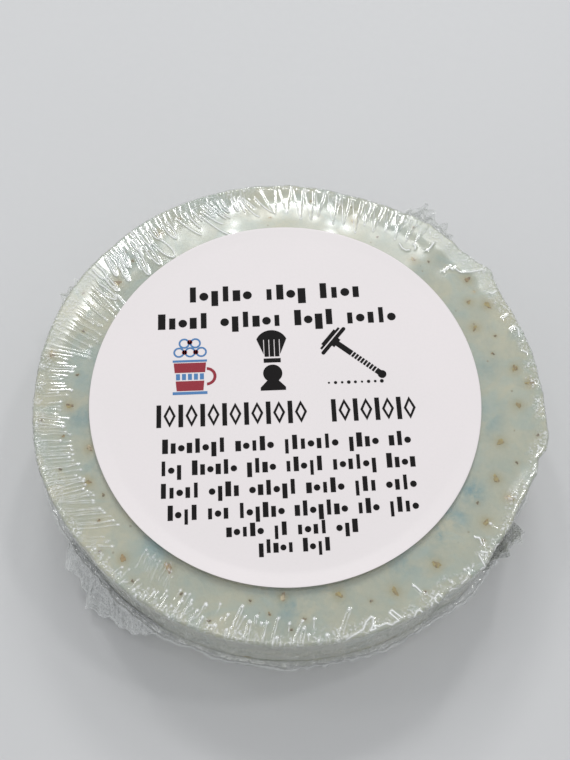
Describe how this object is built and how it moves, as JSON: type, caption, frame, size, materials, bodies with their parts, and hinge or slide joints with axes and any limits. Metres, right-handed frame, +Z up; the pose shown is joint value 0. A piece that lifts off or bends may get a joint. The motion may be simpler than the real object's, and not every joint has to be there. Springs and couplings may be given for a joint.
{
  "type": "shaving soap puck",
  "caption": "Round cut puck of shaving soap with oat flakes, shrink wrapped in clear film with crumpled corners, and a round printed paper label on top.",
  "frame": {"origin": "centre of the flat face that the wrapped puck rests on", "axes": "+Z up through the puck's thickness, -Y towards the viewer from whose side the label reads upright, +X to that viewer's right"},
  "size_m": [0.0788, 0.0788, 0.0204],
  "materials": {
    "soap": "waxy cut soap with blue mottles",
    "oat": "dry rolled oat flake",
    "bran": "dark dry bran",
    "film": "glossy clear shrink film",
    "film_melt": "glossy melted film",
    "film_crumpled": "glossy crumpled film",
    "label_paper": "matt white label paper",
    "adhesive": "tacky acrylic adhesive",
    "ink_black": "black toner",
    "ink_red": "red toner",
    "ink_blue": "blue toner"
  },
  "bodies": {
    "root": {"soap_puck": "soap", "oat_flakes": "oat", "bran_specks": "bran", "film_top_web": "film", "film_bottom_web": "film", "film_seam_bead": "film_melt", "film_ear_front_left": "film_crumpled", "film_ear_front_right": "film_crumpled", "film_ear_back_right": "film_crumpled", "film_ear_back_left": "film_crumpled", "label_stock": "label_paper", "label_adhesive": "adhesive", "label_ink_black": "ink_black", "label_ink_red": "ink_red", "label_ink_blue": "ink_blue"}
  },
  "joints": []
}
